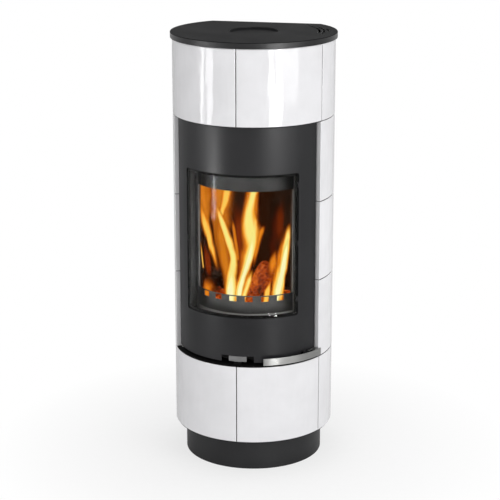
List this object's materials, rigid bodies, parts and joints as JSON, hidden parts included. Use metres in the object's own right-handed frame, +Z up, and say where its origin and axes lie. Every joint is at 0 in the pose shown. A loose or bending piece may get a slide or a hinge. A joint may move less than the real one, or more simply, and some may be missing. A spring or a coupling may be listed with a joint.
{
  "type": "tiled stove",
  "caption": "Round wood stove clad in glazed tiles, with a curved glass door, pull strip, rotary air valve, rear and top flue outlets and a flat back.",
  "frame": {"origin": "on the floor, on the axis of the round body", "axes": "+Z up, the door faces -Y, +X is on the viewer's right when looking at the door"},
  "size_m": [0.512, 0.488, 1.349],
  "materials": {
    "cast_iron": "matte",
    "firebrick": "matte",
    "painted_steel_black": "matte",
    "pane": "gloss",
    "rope": "matte",
    "seal_black": "matte",
    "stainless": "satin",
    "white_glaze": "gloss",
    "zinc_steel": "matte"
  },
  "bodies": {
    "stove": {"air_duct": "zinc_steel", "air_pivot": "stainless", "ash_pan": "zinc_steel", "ash_shelf": "zinc_steel", "back_panel": "painted_steel_black", "back_screws": "zinc_steel", "baffle": "firebrick", "base_plate": "zinc_steel", "columns": "zinc_steel", "deflector": "painted_steel_black", "ember_guard": "painted_steel_black", "floor_bricks": "firebrick", "flue_collar": "painted_steel_black", "grate": "cast_iron", "hinge_bushes": "stainless", "latch_catch": "stainless", "levelling_screws": "zinc_steel", "lower_casing": "zinc_steel", "lower_deck": "painted_steel_black", "mid_deck": "painted_steel_black", "plinth_shell": "painted_steel_black", "side_casings": "zinc_steel", "sill": "painted_steel_black", "smoke_tee": "painted_steel_black", "stove_floor": "zinc_steel", "stove_shell": "painted_steel_black", "stove_top": "painted_steel_black", "tile_brackets": "zinc_steel", "tile_lower_front_left": "white_glaze", "tile_lower_front_right": "white_glaze", "tile_lower_side_left": "white_glaze", "tile_lower_side_right": "white_glaze", "tile_side_left_1": "white_glaze", "tile_side_left_2": "white_glaze", "tile_side_left_3": "white_glaze", "tile_side_right_1": "white_glaze", "tile_side_right_2": "white_glaze", "tile_side_right_3": "white_glaze", "tile_spacers": "rope", "tile_upper_front_left": "white_glaze", "tile_upper_front_right": "white_glaze", "tile_upper_side_left": "white_glaze", "tile_upper_side_right": "white_glaze", "top_deck": "painted_steel_black", "top_plate": "painted_steel_black", "upper_casing": "zinc_steel", "wall_bricks": "firebrick"},
    "door": {"door_panel": "painted_steel_black", "door_glass": "pane", "door_pan": "painted_steel_black", "door_seal": "rope", "glass_seal": "seal_black", "glass_clips": "stainless", "door_liner": "firebrick", "hinge_straps": "painted_steel_black", "latch_bracket": "painted_steel_black"},
    "handle": {"handle_strip": "stainless", "latch_spindle": "stainless"},
    "air": {"air_valve": "stainless"},
    "cover": {"top_cover": "painted_steel_black"}
  },
  "joints": [
    {"name": "door_hinge", "type": "hinge", "parent": "stove", "child": "door", "pos_m": [-0.20468, -0.1038, 0.7], "axis": [0, 0, -1], "range_deg": [0, 100]},
    {"name": "handle_pivot", "type": "hinge", "parent": "door", "child": "handle", "pos_m": [0.22193, -0.10728, 0.366], "axis": [0, 0, 1], "range_deg": [0, 8]},
    {"name": "air_valve_turn", "type": "hinge", "parent": "stove", "child": "air", "pos_m": [0, 0, 0.352], "axis": [0, 0, 1], "range_deg": [-5, 5]},
    {"name": "cover_lift", "type": "slide", "parent": "stove", "child": "cover", "axis": [0, 0, 1], "range_m": [0, 0.05]}
  ]
}
